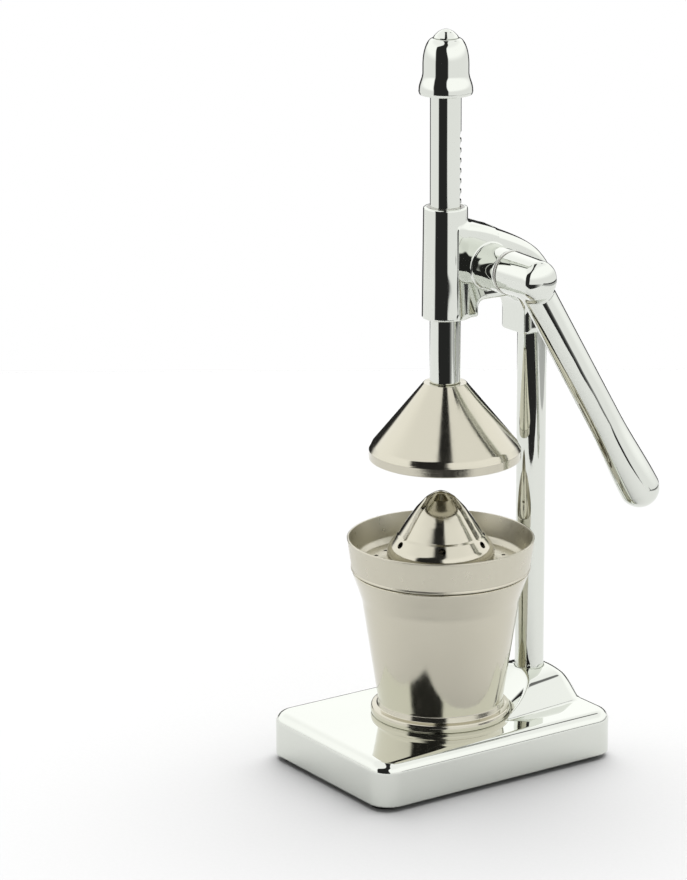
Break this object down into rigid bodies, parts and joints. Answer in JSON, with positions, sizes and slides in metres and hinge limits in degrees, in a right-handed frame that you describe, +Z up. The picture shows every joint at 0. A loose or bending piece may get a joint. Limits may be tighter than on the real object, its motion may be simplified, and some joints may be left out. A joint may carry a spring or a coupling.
{
  "type": "lever citrus juice press",
  "caption": "Free-standing lever citrus press: side lever, pinion and rack push a cone-footed rod down onto a reamer strainer over a metal cup.",
  "frame": {"origin": "on the axis of the ram rod, in the plane that the feet stand on", "axes": "+Z up along the ram rod, +Y to the column at the rear, +X to the operator's right, where the lever is"},
  "size_m": [0.1499, 0.1985, 0.4624],
  "materials": {
    "chrome_cast": "polished chrome plate on cast metal",
    "chrome_bar": "polished chrome plate on turned steel",
    "stainless": "spun and polished stainless sheet",
    "plain_steel": "zinc plated screws and washers",
    "gear_steel": "machined and oiled",
    "bronze": "sintered bronze",
    "black_rubber": "matt moulded rubber"
  },
  "bodies": {
    "frame": {"base": "chrome_cast", "foot_front_left": "black_rubber", "foot_front_right": "black_rubber", "foot_rear_left": "black_rubber", "foot_rear_right": "black_rubber", "foot_screws": "plain_steel", "column": "chrome_bar", "column_bolt": "plain_steel", "column_washer": "plain_steel", "head": "chrome_cast", "head_set_screws": "plain_steel", "upper_guide_bush": "plain_steel", "lower_guide_bush": "plain_steel", "shaft_bush_right": "bronze", "shaft_bush_left": "bronze", "pinion_cover": "chrome_cast", "cover_screws": "plain_steel"},
    "lever": {"lever": "chrome_cast", "pinion_shaft": "gear_steel", "pinion": "gear_steel", "pinion_pin": "gear_steel", "hub_washer": "plain_steel", "lever_set_screw": "plain_steel"},
    "ram": {"ram_rod": "chrome_bar", "top_knob": "chrome_cast", "knob_screw": "chrome_bar", "press_cone": "stainless", "cone_washer": "plain_steel", "cone_screw": "plain_steel"},
    "cup": {"juice_cup": "stainless"},
    "strainer": {"strainer": "stainless", "reamer": "stainless"}
  },
  "joints": [
    {"name": "lever_turn", "type": "hinge", "parent": "frame", "child": "lever", "pos_m": [0, 0.0235, 0.3165], "axis": [1, 0, 0], "range_deg": [-78, 207]},
    {"name": "ram_slide", "type": "slide", "parent": "frame", "child": "ram", "axis": [0, 0, 1], "range_m": [-0.058, 0.022]},
    {"name": "cup_pull", "type": "slide", "parent": "frame", "child": "cup", "axis": [0, -1, 0], "range_m": [0, 0.16]},
    {"name": "strainer_lift", "type": "slide", "parent": "cup", "child": "strainer", "axis": [0, 0, 1], "range_m": [0, 0.0052]}
  ],
  "couplings": [
    {"joint": "ram_slide", "follows": "lever_turn", "m_per_rad": -0.016}
  ]
}
